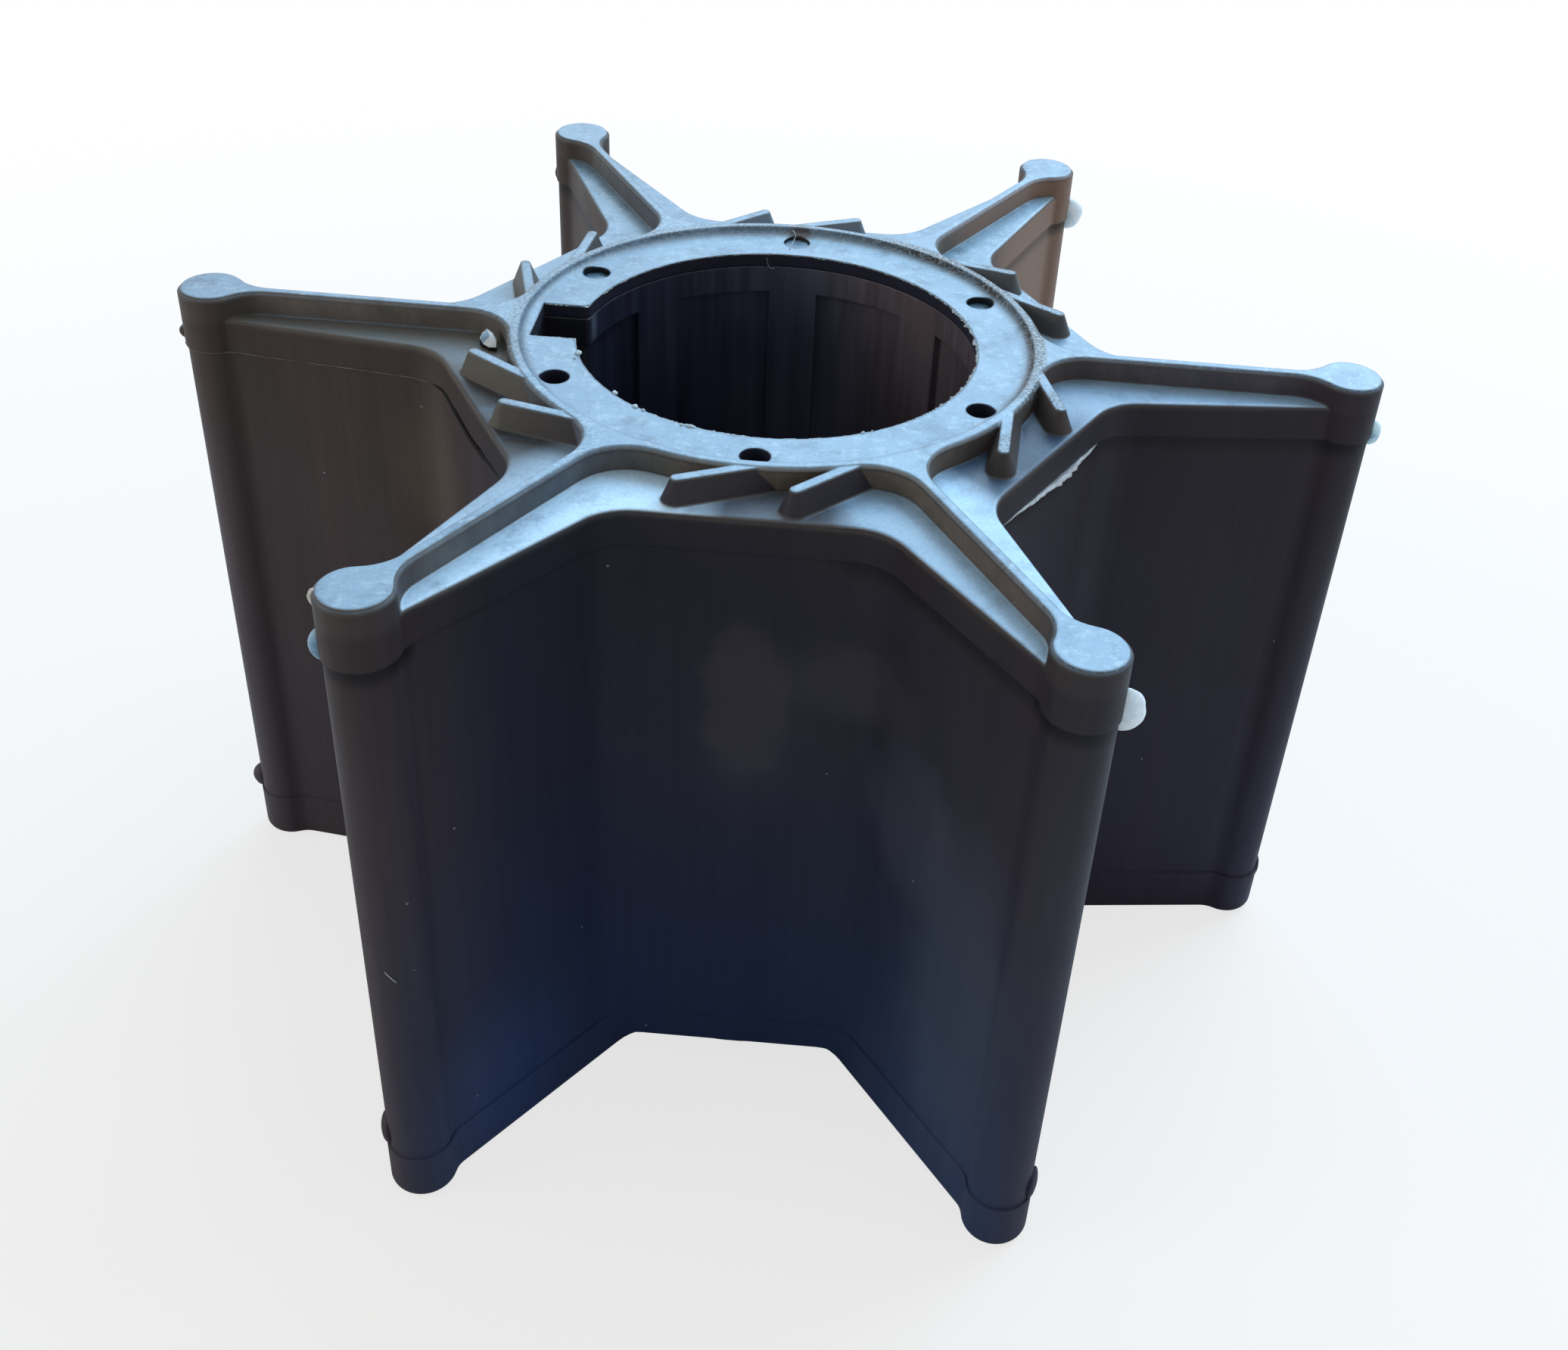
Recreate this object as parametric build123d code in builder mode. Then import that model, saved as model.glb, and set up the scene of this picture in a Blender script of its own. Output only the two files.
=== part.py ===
"""Six-vane flexible pump impeller: a moulded rubber body bonded round a rigid keyed bush."""
import os
from math import atan, degrees

from build123d import *

# All lengths are in millimetres. The bore axis is Z, the underside of the impeller lies at
# Z = 0, and the first vane points along +X. The upper end carries ribs and fins; at the lower
# end the vanes run down at full thickness.

# overall
overall_height = 39.2
vane_count = 6
tip_diameter = 66.2

# bush and keyed bore
bore_diameter = 22.0
bush_wall = 3.6
bush_corner_chamfer = 0.9
key_width = 4.0
key_depth = 2.3
key_mouth_rounding = 0.5
bush_mouth_rounding = 0.2
pocket_count = 8
pocket_arc = 30.0
pocket_depth = 0.4
bore_land_length = 1.65

# hub of the rubber body
hub_rubber_wall = 2.6
end_skin = 0.8
face_recess = 0.46
hub_face_width = 2.25
cove_rise_width = 0.8
crest_width = 0.6
locating_hole_count = 6
locating_hole_diameter = 1.56
locating_hole_inset = 1.83

# vanes
vane_root_thickness = 5.9
vane_tip_thickness = 2.4
vane_root_fillet = 3.0
bulb_diameter = 3.6
neck_fillet = 1.4

# mould seam and the shoulder beyond it
seam_height = 3.3
bulb_slimming = 0.11
shoulder_swell = 0.06
shoulder_drop = 1.3
shoulder_rounding = 0.2

# foot of the lower end
foot_boss_radius = 16.4
foot_swell = 0.08
foot_rounding = 0.6

# ribs that carry the end face out along the vanes
rib_thickness = 0.8
rib_root_fillet = 2.8
rib_tip_flare = 2.4
crest_bevel = 0.2

# slanted fins round the hub
fin_pitch = 20.0
fins_per_gap = 2
fin_lead = 17.9
fin_slant = 52.5
fin_length = 4.6
fin_tip_clearance = 0.8
fin_top_width = 0.54
fin_foot_width = 1.8
fin_drop = 0.05
fin_foot_depth = 0.3

# worked out from the sizes above
bore_radius = bore_diameter / 2
bush_radius = bore_radius + bush_wall
hub_flat_distance = bush_radius + hub_rubber_wall
bulb_radius = bulb_diameter / 2
tip_centre_radius = tip_diameter / 2 - bulb_radius
vane_taper = (vane_root_thickness - vane_tip_thickness) / (tip_centre_radius - hub_flat_distance)
vane_axis_thickness = vane_root_thickness + vane_taper * hub_flat_distance
cove_foot_radius = bore_radius + hub_face_width
crest_inner_radius = cove_foot_radius + cove_rise_width
ring_radius = crest_inner_radius + crest_width
cove_radius = (cove_rise_width**2 + face_recess**2) / (2 * face_recess)
key_reach = bore_radius + key_depth
hole_circle_radius = bore_radius + locating_hole_inset
seam_level = overall_height - seam_height
shoulder_level = overall_height - shoulder_drop
face_level = overall_height - face_recess
bush_top = face_level - end_skin
bush_bottom = overall_height - bush_top
bush_length = bush_top - bush_bottom
mid_plane = Plane.XY.offset(overall_height / 2)
mid_gap_angle = 180 / vane_count
pocket_pitch = 360 / pocket_count
fin_tip_radius = hub_flat_distance - fin_tip_clearance
fin_foot_level = shoulder_level - fin_foot_depth
fin_height = overall_height - fin_drop - fin_foot_level
fin_draft = degrees(atan((fin_foot_width - fin_top_width) / 2 / fin_height))


def flat_sided_hub(swell):
    """Plan of the hub alone, with a flat between each two vanes, grown by swell."""
    with BuildSketch() as outline:
        RegularPolygon(hub_flat_distance + swell, vane_count, major_radius=False)
    return outline.sketch


def round_boss():
    """Plan of the plain round boss that the hub ends in at the foot."""
    with BuildSketch() as outline:
        Circle(foot_boss_radius)
    return outline.sketch


def vaned_outline(hub, level, swell, bulb_slim):
    """Plan of a hub with vanes grown by swell and with tip bulbs slimmer by bulb_slim."""
    half_axis = vane_axis_thickness / 2 + swell
    half_tip = vane_tip_thickness / 2 + swell
    with BuildSketch(Plane.XY.offset(level)) as outline:
        add(hub)
        with PolarLocations(0, vane_count):
            Polygon(
                (0, -half_axis),
                (tip_centre_radius, -half_tip),
                (tip_centre_radius, half_tip),
                (0, half_axis),
                align=None,
            )
        with PolarLocations(tip_centre_radius, vane_count):
            Circle(bulb_radius - bulb_slim)
        necks = outline.vertices().sort_by(SortBy.DISTANCE)[2 * vane_count : 4 * vane_count]
        fillet(necks, neck_fillet)
        roots = outline.vertices().sort_by(SortBy.DISTANCE)[: 2 * vane_count]
        fillet(roots, vane_root_fillet)
    return outline.sketch


def crest_outline(level):
    """Plan of what reaches the full height: the ring, a rib on each vane and the bulbs."""
    with BuildSketch(Plane.XY.offset(level)) as outline:
        Circle(ring_radius)
        with PolarLocations(0, vane_count):
            Rectangle(tip_centre_radius, rib_thickness, align=(Align.MIN, Align.CENTER))
        with PolarLocations(tip_centre_radius, vane_count):
            Circle(bulb_radius)
        flares = outline.vertices().sort_by(SortBy.DISTANCE)[2 * vane_count : 4 * vane_count]
        fillet(flares, rib_tip_flare)
        roots = outline.vertices().sort_by(SortBy.DISTANCE)[: 2 * vane_count]
        fillet(roots, rib_root_fillet)
    return outline.sketch


def keyed_bore(level, mouth_rounding):
    """Plan of the bore and its keyway, which opens opposite the first vane."""
    with BuildSketch(Plane.XY.offset(level)) as outline:
        Circle(bore_radius)
        Rectangle(key_reach, key_width, align=(Align.MAX, Align.CENTER))
        mouth = outline.vertices().sort_by(Axis.X)[2:4]
        fillet(mouth, mouth_rounding)
    return outline.sketch


def pocket_sector():
    """Plan of one relief pocket, carried in to the axis."""
    with BuildSketch() as sector:
        with BuildLine():
            wall = CenterArc((0, 0), bore_radius + pocket_depth, -pocket_arc / 2, pocket_arc)
            Polyline(wall @ 1, (0, 0), wall @ 0)
        make_face()
    return sector.sketch


# Shoulder: the slab between a seam and its ledge, with the edge of the ledge rounded.
with BuildPart() as shoulder:
    shoulder_hub = flat_sided_hub(shoulder_swell)
    shoulder_plan = vaned_outline(shoulder_hub, seam_level, shoulder_swell, shoulder_swell)
    extrude(shoulder_plan, shoulder_level - seam_level)
    fillet(shoulder.edges().group_by(Axis.Z)[-1], shoulder_rounding)

# Crest: ring, ribs and bulb collars, with the edge of the end face softened by a small bevel.
with BuildPart() as crest:
    extrude(crest_outline(seam_level), seam_height)
    chamfer(crest.edges().group_by(Axis.Z)[-1], crest_bevel)

# Foot: full-thickness vanes round a plain boss, drawn at the upper end to be mirrored down.
with BuildPart() as foot:
    extrude(vaned_outline(round_boss(), seam_level, foot_swell, 0), seam_height)
    fillet(foot.edges().group_by(Axis.Z)[-1], foot_rounding)

# Fin: a blade with drafted sides and a rounded end, leaning back from the hub's radius.
with BuildPart() as fin:
    with BuildSketch(Plane.XY.offset(fin_foot_level)):
        with PolarLocations(fin_tip_radius, 1, start_angle=fin_lead):
            with Locations(Location((0, 0, 0), (0, 0, -fin_slant))):
                with Locations((-fin_length / 2, 0)):
                    SlotCenterToCenter(fin_length, fin_foot_width)
    extrude(amount=fin_height, taper=fin_draft)

# Face cut: the cove-edged recess that sinks the hub face inside the ring, and the holes left
# by the mould's locating pins, which run down to the end of the bush.
with BuildPart() as face_cut:
    with BuildSketch(Plane.XZ):
        with BuildLine():
            cove_foot = (cove_foot_radius, face_level)
            cove_top = (crest_inner_radius, overall_height)
            RadiusArc(cove_foot, cove_top, -cove_radius)
            Polyline(cove_top, (0, overall_height), (0, face_level), cove_foot)
        make_face()
    revolve(axis=Axis.Z)
    with BuildSketch(Plane.XY.offset(bush_top)):
        with PolarLocations(hole_circle_radius, locating_hole_count, start_angle=mid_gap_angle):
            Circle(locating_hole_diameter / 2)
    extrude(amount=overall_height - bush_top)

# Bush blank: the bush's outside, which is also the cavity that it fills in the rubber.
with BuildPart() as bush_blank:
    with BuildSketch(Plane.XY.offset(bush_bottom)):
        Circle(bush_radius)
    extrude(amount=bush_length)
    chamfer(bush_blank.edges().filter_by(GeomType.CIRCLE), bush_corner_chamfer)

# Rubber body: both ends and the plain stretch between the seams, moulded over the bush.
with BuildPart() as rubber_body:
    mid_plan = vaned_outline(flat_sided_hub(0), seam_height, 0, bulb_slimming)
    extrude(mid_plan, seam_level - seam_height)
    add(shoulder.part)
    add(crest.part)
    for fin_index in range(fins_per_gap):
        with PolarLocations(0, vane_count, start_angle=fin_index * fin_pitch):
            add(fin.part)
    mirror(shoulder.part, about=mid_plane)
    mirror(foot.part, about=mid_plane)
    add(face_cut.part, mode=Mode.SUBTRACT)
    mirror(face_cut.part, about=mid_plane, mode=Mode.SUBTRACT)
    extrude(keyed_bore(0, key_mouth_rounding), overall_height, mode=Mode.SUBTRACT)
    add(bush_blank.part, mode=Mode.SUBTRACT)

# Hub bush: a rigid keyed sleeve whose bore is relieved by shallow pockets between its lands.
with BuildPart() as hub_bush:
    add(bush_blank.part)
    extrude(keyed_bore(bush_bottom, bush_mouth_rounding), bush_length, mode=Mode.SUBTRACT)
    with BuildSketch(Plane.XY.offset(bush_bottom + bore_land_length)):
        Circle(bore_radius)
        with PolarLocations(0, pocket_count, start_angle=pocket_pitch / 2):
            add(pocket_sector())
    extrude(amount=bush_length - 2 * bore_land_length, mode=Mode.SUBTRACT)

os.makedirs("parts", exist_ok=True)
rubber_body.part.label = "rubber_body"
hub_bush.part.label = "hub_bush"
export_step(rubber_body.part, "parts/rubber_body.step")
export_step(hub_bush.part, "parts/hub_bush.step")
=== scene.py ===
import bpy, bmesh, math
from mathutils import Matrix, Vector, noise


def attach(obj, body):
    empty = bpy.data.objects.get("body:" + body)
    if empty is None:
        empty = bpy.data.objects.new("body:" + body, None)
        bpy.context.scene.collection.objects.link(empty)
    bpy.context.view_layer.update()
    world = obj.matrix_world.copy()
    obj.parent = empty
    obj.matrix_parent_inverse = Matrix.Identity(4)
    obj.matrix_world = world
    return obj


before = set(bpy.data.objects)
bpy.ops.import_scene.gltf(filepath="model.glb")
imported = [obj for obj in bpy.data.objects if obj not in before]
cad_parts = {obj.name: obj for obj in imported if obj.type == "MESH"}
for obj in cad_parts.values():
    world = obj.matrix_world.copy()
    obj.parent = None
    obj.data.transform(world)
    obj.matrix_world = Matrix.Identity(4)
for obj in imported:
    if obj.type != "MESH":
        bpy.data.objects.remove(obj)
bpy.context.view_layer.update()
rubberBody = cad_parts["rubber_body"]
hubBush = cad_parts["hub_bush"]
mm = 0.001
# Lengths in the tables are in mm, where no other unit is given. Left is -X, the side of the
# keyway, and front is -Y.
print("frame loaded, nodes:", sorted(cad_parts))


# ---- small helpers for materials

def hexColour(code):  # sRGB hex to the linear values that Blender's sockets take
    channels = [int(code[i:i + 2], 16) / 255 for i in (1, 3, 5)]
    return tuple(c / 12.92 if c <= 0.04045 else ((c + 0.055) / 1.055) ** 2.4 for c in channels) + (1.0,)


def addNode(tree, kind, sockets=None, **settings):
    node = tree.nodes.new(kind)
    for name, value in settings.items():
        setattr(node, name, value)
    for key, value in (sockets or {}).items():
        if isinstance(value, bpy.types.NodeSocket):
            tree.links.new(value, node.inputs[key])
        else:
            node.inputs[key].default_value = value
    return node


def newMaterial(name):
    material = bpy.data.materials.new(name)
    material.use_nodes = True
    material.node_tree.nodes.clear()
    return material, material.node_tree


def placeInMm(tree):  # where on its piece a point lies
    place = addNode(tree, "ShaderNodeTexCoord")
    return addNode(tree, "ShaderNodeVectorMath", {0: place.outputs["Object"], 1: (1 / mm,) * 3},
                   operation="MULTIPLY").outputs[0]


def fillRamp(node, stops):  # stops are (place, hex) pairs from low to high
    ramp = node.color_ramp
    while len(ramp.elements) < len(stops):
        ramp.elements.new(0.5)
    for element, (place, code) in zip(ramp.elements, stops):
        element.position = place
        element.color = hexColour(code)


def addShares(tree, known, table, easing):
    # A share's rows are multiplied. Each row takes a measure from one value to another, over which
    # the share goes from 0 to 1, or between the two amounts that end the row.
    for name, rows in table.items():
        share = None
        for along, low, high, *amounts in rows:
            start, end = amounts or (0.0, 1.0)
            row = addNode(tree, "ShaderNodeMapRange", {
                "Value": known[along], "From Min": low, "From Max": high, "To Min": start, "To Max": end},
                interpolation_type=easing).outputs[0]
            share = row if share is None else addNode(tree, "ShaderNodeMath", {0: share, 1: row},
                                                      operation="MULTIPLY").outputs[0]
        known[name] = share


def addStacks(tree, known, table):
    # A stack is a base tone with layers over it, each (share, tone) and how it blends if not plainly.
    # A tone is a hex value or something known, and a share something known or a number.
    for name, (base, layers) in table.items():
        colour = hexColour(base) if base[0] == "#" else known[base]
        for share, tone, *kind in layers:
            colour = addNode(tree, "ShaderNodeMix", {
                0: known.get(share, share), 6: colour, 7: hexColour(tone) if tone[0] == "#" else known[tone]},
                data_type="RGBA", blend_type=kind[0] if kind else "MIX").outputs[2]
        known[name] = colour


def wear(node, material):  # every slot of a node takes the one material
    for slot in range(len(node.material_slots)):
        node.material_slots[slot].material = material


# ---- moulded nitrile rubber

rubberLook = {
    "edgeRadius": 0.22, "edgeSamples": 6,
    # patterns: how they run, size, detail, roughness, distortion. The real grain and grit are
    # finer than 0.1 mm, and are drawn at twice that or more so that they show.
    "patterns": {
        "stains": ("even", 8.0, 4.0, 0.6, 0.0), "scuffs": ("even", 1.6, 6.0, 0.72, 0.0),
        "flecks": ("even", 0.55, 3.0, 0.6, 0.0), "grain": ("even", 0.22, 4.0, 0.65, 0.0),
        "grit": ("even", 0.2, 2.0, 0.7, 0.0), "broken": ("even", 3.2, 3.0, 0.5, 0.5),
        "wobble": ("even", 2.6, 3.0, 0.5, 0.0),
        "streaks": ("upright", 0.45, 3.0, 0.5, 0.0), "broad": ("upright", 3.6, 2.0, 0.5, 0.0)},
    "uprightDraw": (1, 1, 0.035),  # streaks are drawn out along the height
    # smears of oil by the root of the left vane and of handling on the front walls:
    # place, reach each way, where they start to fade
    "smears": {
        "rootOil": ((-19.2, -4.0, 30.5), (2.8, 4.0, 6.5), 0.3),
        "frontHigh": ((0.2, -17.2, 26.8), (2.5, 6.0, 5.6), 0.62),
        "frontMiddle": ((0.7, -17.2, 25.2), (3.6, 6.0, 7.6), 0.2),
        "besideFront": ((5.6, -18.2, 28.6), (4.6, 6.0, 2.9), 0.4),
        "rightVane": ((9.0, -20.5, 22.5), (2.8, 6.0, 5.5), 0.5),
        "rightVaneLow": ((12.2, -24.5, 13.5), (3.8, 6.0, 13.5), 0.5),
        # leftVaneFootReflection is no smear: it adds a painted bluish reflection at the foot of the left vane
        "leftVaneFootReflection": ((-12.0, -24.5, 4.0), (5.5, 7.0, 8.5), 0.2)},
    "smearEnd": 1.1, "smearBreaks": ("broken", 0.3, 0.55, 0.86, 1.0), "smearWobble": 2.2,
    # a rubbed brown smudge by the rear pin hole
    "smudgeAt": (0.08, 13.85, 38.9), "smudgeRagged": 1.2,
    # dust specks: one to a cell at most, and only in a few cells
    "speckCell": 1.6, "speckReach": 0.045, "speckRarity": 0.87, "speckStrength": 0.35,
    # where things are, as smooth shares: the measure is in mm, or degrees for a bearing
    "shares": {
        "upward": [("lean", 0.60, 0.93), ("z", 36.2, 36.6)],
        "sideVane": [("aside", 13.5, 17.5)], "rearSide": [("y", 5.0, 10.0)], "rearHalf": [("y", 4.0, 9.0)],
        "crestWall": [("z", 37.4, 38.1), ("fromAxis", 27.0, 30.0, 1.0, 0.15)],
        # rearRightWallLit: painted light, the front-facing wall of the rear right vane lit warm and lighter
        "rearRightWallLit": [("y", 13.0, 19.0), ("x", 4.0, 10.0), ("z", 12.0, 30.0),
                          ("toRear", -0.1, -0.4, 0.0, 0.8)],
        # painted shade under the lip of the seam
        "bulbLip": [("fromAxis", 29.4, 29.9, 0.0, 0.75), ("x", -20.0, -17.0),
                    ("z", 34.7, 35.7), ("z", 36.0, 35.88)],
        "rightLip": [("bearing", -78.0, -72.0, 0.0, 0.5), ("x", -20.0, -17.0),
                     ("z", 34.7, 35.7), ("z", 36.0, 35.88)],
        "finSide": [("lean", 0.14, 0.26), ("lean", 0.44, 0.56, 1.0, 0.0), ("z", 37.4, 37.8)],
        "finRear": [("y", 0.0, 3.0), ("x", -9.0, -6.0)],
        # finEndShade and finTopShade: the ends of the left fins and the tops of the right fins painted
        # darker, as painted shade
        "finEndShade": [("fromAxis", 15.0, 18.5), ("x", -8.5, -11.0), ("z", 39.1, 39.12), ("z", 39.18, 39.16)],
        "finTopShade": [("fromAxis", 15.2, 15.6), ("x", 7.0, 9.0), ("z", 39.1, 39.12), ("z", 39.18, 39.16),
                   ("grain", 0.45, 0.55, 0.1, 0.8)],
        # inside the crest: its cove, the bore and the pin holes; the cove's slope is painted lit, and its
        # flat and the pin hole walls are painted in shade
        "coveWallLit": [("fromAxis", 14.3, 14.2)],
        "coveFlatShade": [("fromAxis", 13.3, 13.75), ("fromAxis", 14.12, 13.95), ("y", -9.0, -5.0, 0.0, 0.45)],
        "boreWall": [("fromAxis", 13.65, 13.85, 1.0, 0.0)],
        "pinWallShade": [("fromAxis", 11.6, 11.8), ("y", 4.0, 5.0)],
        # pinFloorShade: the pin hole floors painted a darker shade of the ends' pale tone, as painted shade
        "pinFloorShade": [("z", 38.71, 38.68), ("fromAxis", 13.65, 13.6)],
        # wear of the end faces, and where light and shade are painted on their ledges and on the ring by the
        # cove
        "scuffed": [("scuffs", 0.52, 0.32, 0.0, 0.6)], "flecked": [("flecks", 0.50, 0.70, 0.0, 0.5)],
        "ledge": [("z", 38.2, 38.0), ("y", -0.3, -0.7)], "ledgeScuffed": [("scuffs", 0.52, 0.32, 0.0, 0.35)],
        "coarseCrest": [("z", 38.85, 39.05), ("x", -6.0, -9.0), ("fromAxis", 20.0, 17.0)],
        "cutRingShade": [("fromAxis", 13.6, 13.9), ("fromAxis", 14.85, 14.5), ("y", -7.5, -4.0), ("z", 38.6, 38.8),
                    ("x", 3.0, 9.0, 0.5, 0.95), ("broken", 0.35, 0.65, 0.75, 1.1)],
        "ringGrit": [("grit", 0.50, 0.56), ("fromAxis", 13.7, 14.4, 0.35, 1.0)],
        "smudged": [("ragged", 1.55, 1.0, 0.0, 0.8)],
        "frontShift": [("y", 3.0, -8.0, 0.0, 8.0)]},
    # even shares, and gains that a tone is multiplied by
    "gains": {
        "across": [("x", -33.0, 33.0)], "level": [("z", 0.0, 39.2)], "frontTurn": [("bearing", -180.0, 0.0)],
        "stained": [("stains", 0.35, 0.65)],
        "crestGain": [("scuffs", 0.3, 0.7, 0.8, 1.2)], "streakGain": [("streakSum", 0.7, 1.3, 0.9, 1.1)],
        "fineGrain": [("grain", 0.3, 0.7, 0.9, 1.1)], "coarseGrain": [("grain", 0.35, 0.65, 0.7, 1.3)],
        # sideLightGain: painted light, the end faces darker to the left and lighter to the right
        "sideLightGain": [("shifted", -18.0, 16.0, 0.84, 1.13)],
        "wallRough": [("stains", 0.3, 0.7, 0.45, 0.59)], "topRough": [("scuffs", 0.3, 0.7, 0.30, 0.46)],
        "waxScuff": [("scuffs", 0.35, 0.65, 0.55, 0.8)]},
    # how much of the wax is left on the front ledges and on the ends of the left fins
    "wax": {"onLedge": [("ledgeToneShaded", 0.03, 0.35, 0.25, 1.0)], "onFin": [("finEndShade", 0.0, 1.0, 1.0, 0.45)]},
    "ramps": {
        # walls from the foot up to the end face: between the front vanes, and on the other vanes; painted
        # reflection and light, navy low down and warm brown-grey high up
        "wallByHeight": ("level", [(0.0, "#495a78"), (0.12, "#46536e"), (0.3, "#444b5d"), (0.62, "#4f464b"),
                                   (0.9, "#4a3f3e"), (1.0, "#4c4039")]),
        "sideReflectionByHeight": ("level", [(0.0, "#4c4852"), (0.3, "#4c464e"), (0.7, "#4d4648"), (1.0, "#483f3d")]),
        # painted light: a tint from the left vane to the right one, warm and light on the left, darker and
        # bluer over the front and right, warmer on the rear half
        "wallAcross": ("across", [(0.0, "#fffaf4"), (0.2, "#fff4ea"), (0.34, "#8ea9d8"), (0.5, "#9dafd2"),
                                  (0.66, "#b0c6de"), (0.8, "#b4b6d2"), (1.0, "#bab6cc")]),
        # the low walls of ring and ribs, painted lighter than the tall ones as painted light
        "crestWallAcross": ("across", [
            (0.0, "#6f6b66"), (0.25, "#6b6762"), (0.36, "#596068"), (0.45, "#6d655b"), (0.6, "#6d655b"),
            (0.72, "#5c544f"), (0.85, "#57525a"), (1.0, "#4c464c")]),
        # fins painted light on the left and dark in front and on the right, as painted light and shade; the
        # rear fins are painted lighter grey
        "finAcross": ("across", [(0.0, "#5f5d59"), (0.30, "#595751"), (0.37, "#413e42"), (0.6, "#323036"),
                                 (0.75, "#4a4643"), (1.0, "#4f4b47")]),
        "finRearLightAcross": ("across", [(0.4, "#7b8792"), (0.58, "#7b8792"), (0.72, "#565859")]),
        # painted light and shade on the ledges of the near side, from the left vane round the front to the
        # right one: dark where ribs and ring shade them, pale where light falls on them
        "ledgeRound": ("frontTurn", [
            (0.0, "#66655f"), (0.07, "#5f5e59"), (0.12, "#353333"), (0.22, "#312f2f"), (0.265, "#434344"),
            (0.302, "#8ba6ba"), (0.345, "#cdeafc"), (0.44, "#c6e6fa"), (0.48, "#515a63"), (0.575, "#454a50"),
            (0.60, "#7c9ab0"), (0.645, "#8cacc4"), (0.668, "#b0d4ee"), (0.705, "#b0d4ee"), (0.735, "#4c6174"),
            (0.76, "#34465a"), (0.86, "#32445a"), (0.93, "#7a96ae"), (1.0, "#8aa8c0")])},
    "stacks": {
        "byHeight": ("wallByHeight", [("sideways", "sideReflectionByHeight")]),
        "lightByWidth": ("wallAcross", [("rearHalf", "#f2dfd0")]),
        "crestWallLitTone": ("crestWallAcross", [(1.0, "crestGain", "MULTIPLY")]),
        "finLitTone": ("finAcross", [("finRear", "finRearLightAcross")]),
        "boreTone": ("#2b2d3c", [("pinWallShade", "#1c242b")]),
        # walls: painted light, shade and reflection by height and across the part, on the rear right wall,
        # the fins and the cove, and painted shade under the seam lip; the streaks and most smears are the
        # rubber's own
        "wallTone": ("byHeight", [
            (1.0, "lightByWidth", "MULTIPLY"), ("crestWall", "crestWallLitTone"), (1.0, "streakGain", "MULTIPLY"),
            (0.08, "broadColour", "OVERLAY"), ("rearRightWallLit", "#9a7c6a"),
            ("rootOil", "#30281a", "ADD"), ("frontHigh", "#272221", "ADD"), ("frontMiddle", "#1a1819", "ADD"),
            ("besideFront", "#252122", "ADD"), ("rightVane", "#262a2f", "ADD"),
            ("rightVaneLow", "#20282d", "ADD"), ("leftVaneFootReflection", "#07203f", "ADD"),
            ("shadeUnderLip", "#0c0c10"), ("finSide", "finLitTone"), ("coveWallLit", "#6a8296"), ("boreWall", "boreTone")]),
        "ledgeToneShaded": ("ledgeRound", [("ledgeScuffed", "#5a7084")]),
        # end faces: the pale blue base is painted light for the bright sky they reflect; the stains, scuffs,
        # flecks and grain are their own
        "endToneLitPale": ("#7597ae", [
            ("stained", "#8aabc0"), ("scuffed", "#5a7084"), ("flecked", "#aec8d6"), ("coveFlatShade", "#4f6273"),
            ("finEndShade", "#646259"), ("ledge", "ledgeToneShaded"), (1.0, "grainGain", "MULTIPLY"),
            (1.0, "sideLightGain", "MULTIPLY"), ("finTopShade", "#2c3133"), ("pinFloorShade", "#54758b")]),
        # ringShadeTone: the shaded side of the cove ring painted dark, as painted shade, with pale grit
        "ringShadeTone": ("#2c3133", [("ringGrit", "#93a3ac")]),
        "skinTone": ("wallTone", [("upward", "endToneLitPale"), ("cutRingShade", "ringShadeTone"), ("smudged", "#38302c"),
                                  ("dusty", "#b9c6cf")])},
    "ior": 1.52, "specular": 0.14, "coatRough": 0.34, "coatIor": 1.6,
    "fleckRelief": 0.5, "bumpStrength": 0.45, "bumpDepth": 0.03,
}


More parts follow.
